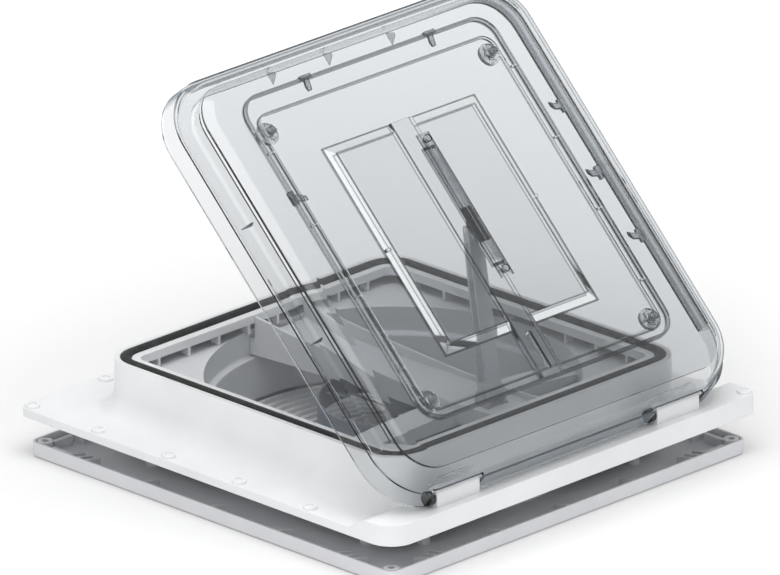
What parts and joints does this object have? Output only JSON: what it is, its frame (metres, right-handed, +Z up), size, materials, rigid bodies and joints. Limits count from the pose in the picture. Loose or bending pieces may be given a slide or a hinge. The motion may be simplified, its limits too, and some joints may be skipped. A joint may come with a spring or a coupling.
{
  "type": "caravan roof vent",
  "caption": "Square roof vent with a clear domed lid on two hinges, held open by a lift arm in a rail, with a curb, seal, fan and ceiling frame.",
  "frame": {"origin": "middle of the ceiling frame's corner screw holes, at its lowest face", "axes": "+X along the hinges, +Y to the lid's free side, +Z up to the sky"},
  "size_m": [0.524, 0.5269, 0.4342],
  "materials": {
    "tray_plastic": "satin",
    "frame_plastic": "satin",
    "seal_rubber": "matte",
    "steel": "brushed",
    "grey_plastic": "satin",
    "arm_plastic": "satin",
    "dark_plastic": "satin",
    "black_plastic": "satin",
    "blade_plastic": "gloss",
    "lid_clear": "clear gloss"
  },
  "bodies": {
    "base": {"interior_frame": "tray_plastic", "ceiling_grille": "tray_plastic", "outer_frame": "frame_plastic", "rim_seal": "seal_rubber", "screw_caps": "frame_plastic", "clamp_screws": "steel", "throat_liner": "frame_plastic", "bridge_body": "frame_plastic", "bridge_cover": "frame_plastic", "lift_gearbox": "grey_plastic", "arm_pivot_pin": "steel", "hinge_covers": "frame_plastic", "hinge_pins": "black_plastic", "fan_motor": "grey_plastic", "fan_shroud": "frame_plastic"},
    "lid": {"lid_outer_shell": "lid_clear", "lid_inner_panel": "lid_clear", "skin_spacers": "lid_clear", "hinge_leaves": "lid_clear", "lid_rail": "lid_clear", "rail_stops": "dark_plastic", "rail_screws": "steel"},
    "arm": {"lift_arm": "arm_plastic", "slider_pin": "steel"},
    "slider": {"slider": "dark_plastic"},
    "fan": {"fan_rotor": "blade_plastic"},
    "crank": {"crank_shaft": "steel", "crank_knob": "grey_plastic"}
  },
  "joints": [
    {"name": "lid_hinge", "type": "hinge", "parent": "base", "child": "lid", "pos_m": [0, -0.243, 0.07451], "axis": [1, 0, 0], "range_deg": [-45, 0]},
    {"name": "arm_pivot", "type": "hinge", "parent": "base", "child": "arm", "pos_m": [0.02, -0.122, 0.09201], "axis": [1, 0, 0], "range_deg": [-77.6, 0]},
    {"name": "slider_pivot", "type": "hinge", "parent": "arm", "child": "slider", "pos_m": [0.02, -0.0941, 0.26174], "axis": [1, 0, 0], "range_deg": [0, 32.6]},
    {"name": "fan_spin", "type": "hinge", "parent": "base", "child": "fan", "pos_m": [0.02, -0.006, 0.045], "axis": [0, 0, 1], "continuous": true},
    {"name": "crank_turn", "type": "hinge", "parent": "base", "child": "crank", "pos_m": [0.02, -0.122, 0.03], "axis": [0, 0, 1], "range_deg": [-1863, 0]}
  ],
  "couplings": [
    {"joint": "arm_pivot", "follows": "lid_hinge", "ratio": 1.7236},
    {"joint": "slider_pivot", "follows": "lid_hinge", "ratio": -0.7236},
    {"joint": "crank_turn", "follows": "lid_hinge", "ratio": 41.366}
  ]
}
